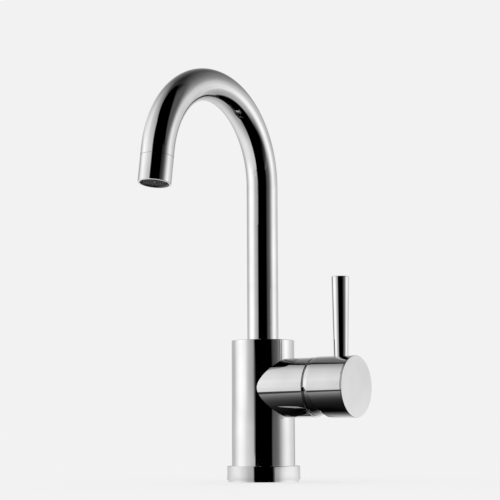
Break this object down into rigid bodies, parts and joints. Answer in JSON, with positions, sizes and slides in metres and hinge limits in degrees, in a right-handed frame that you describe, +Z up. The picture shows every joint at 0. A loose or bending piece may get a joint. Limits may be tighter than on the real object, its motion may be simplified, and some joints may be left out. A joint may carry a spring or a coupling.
{
  "type": "basin mixer tap",
  "caption": "Single lever basin mixer tap: round column, swivelling arched spout, and a side branch with a ceramic disc cartridge, round knob and pin lever.",
  "frame": {"origin": "centre of the column's underside, on the basin's top", "axes": "+Z up along the column; the spout reaches towards -Y, the user's side; the side branch and knob point along +X"},
  "size_m": [0.1006, 0.1641, 0.28],
  "materials": {
    "chrome": "polished",
    "brass": "satin",
    "steel": "satin",
    "rubber": "matte",
    "white_plastic": "satin",
    "grey_plastic": "satin",
    "red_plastic": "satin",
    "ceramic": "polished"
  },
  "bodies": {
    "tap_body": {"body_column": "chrome", "base_ring": "chrome", "base_seal": "rubber", "spout_set_screw": "steel", "lower_slide_ring": "white_plastic", "upper_slide_ring": "white_plastic", "cartridge_base": "grey_plastic", "port_seals": "rubber", "fixed_disc": "ceramic", "cartridge_housing": "white_plastic", "limit_ring": "red_plastic", "cartridge_nut": "brass", "cover_dome": "chrome"},
    "spout": {"spout_tube": "chrome", "spout_stub": "brass", "spout_o_rings": "rubber", "outlet_nipple": "brass", "aerator_collar": "chrome", "aerator_washer": "rubber", "aerator_screen": "steel", "aerator_insert": "grey_plastic"},
    "cartridge_rotor": {"stem_carrier": "white_plastic", "stem_pin": "steel"},
    "handle": {"cartridge_stem": "brass", "handle_knob": "chrome", "handle_screw": "steel", "knob_cap": "chrome", "lever_rod": "chrome"},
    "sliding_disc": {"moving_disc": "ceramic", "disc_driver": "grey_plastic"}
  },
  "joints": [
    {"name": "spout_swivel", "type": "hinge", "parent": "tap_body", "child": "spout", "pos_m": [0, 0, 0.09], "axis": [0, 0, 1], "range_deg": [-60, 60]},
    {"name": "temperature_turn", "type": "hinge", "parent": "tap_body", "child": "cartridge_rotor", "pos_m": [0.0415, 0, 0.0645], "axis": [1, 0, 0], "range_deg": [-45, 45]},
    {"name": "flow_tilt", "type": "hinge", "parent": "cartridge_rotor", "child": "handle", "pos_m": [0.0415, 0, 0.0645], "axis": [0, 1, 0], "range_deg": [0, 25]},
    {"name": "disc_slide", "type": "slide", "parent": "cartridge_rotor", "child": "sliding_disc", "axis": [0, 0, 1], "range_m": [0, 0.0042]}
  ],
  "couplings": [
    {"joint": "disc_slide", "follows": "flow_tilt", "m_per_rad": 0.0095}
  ]
}
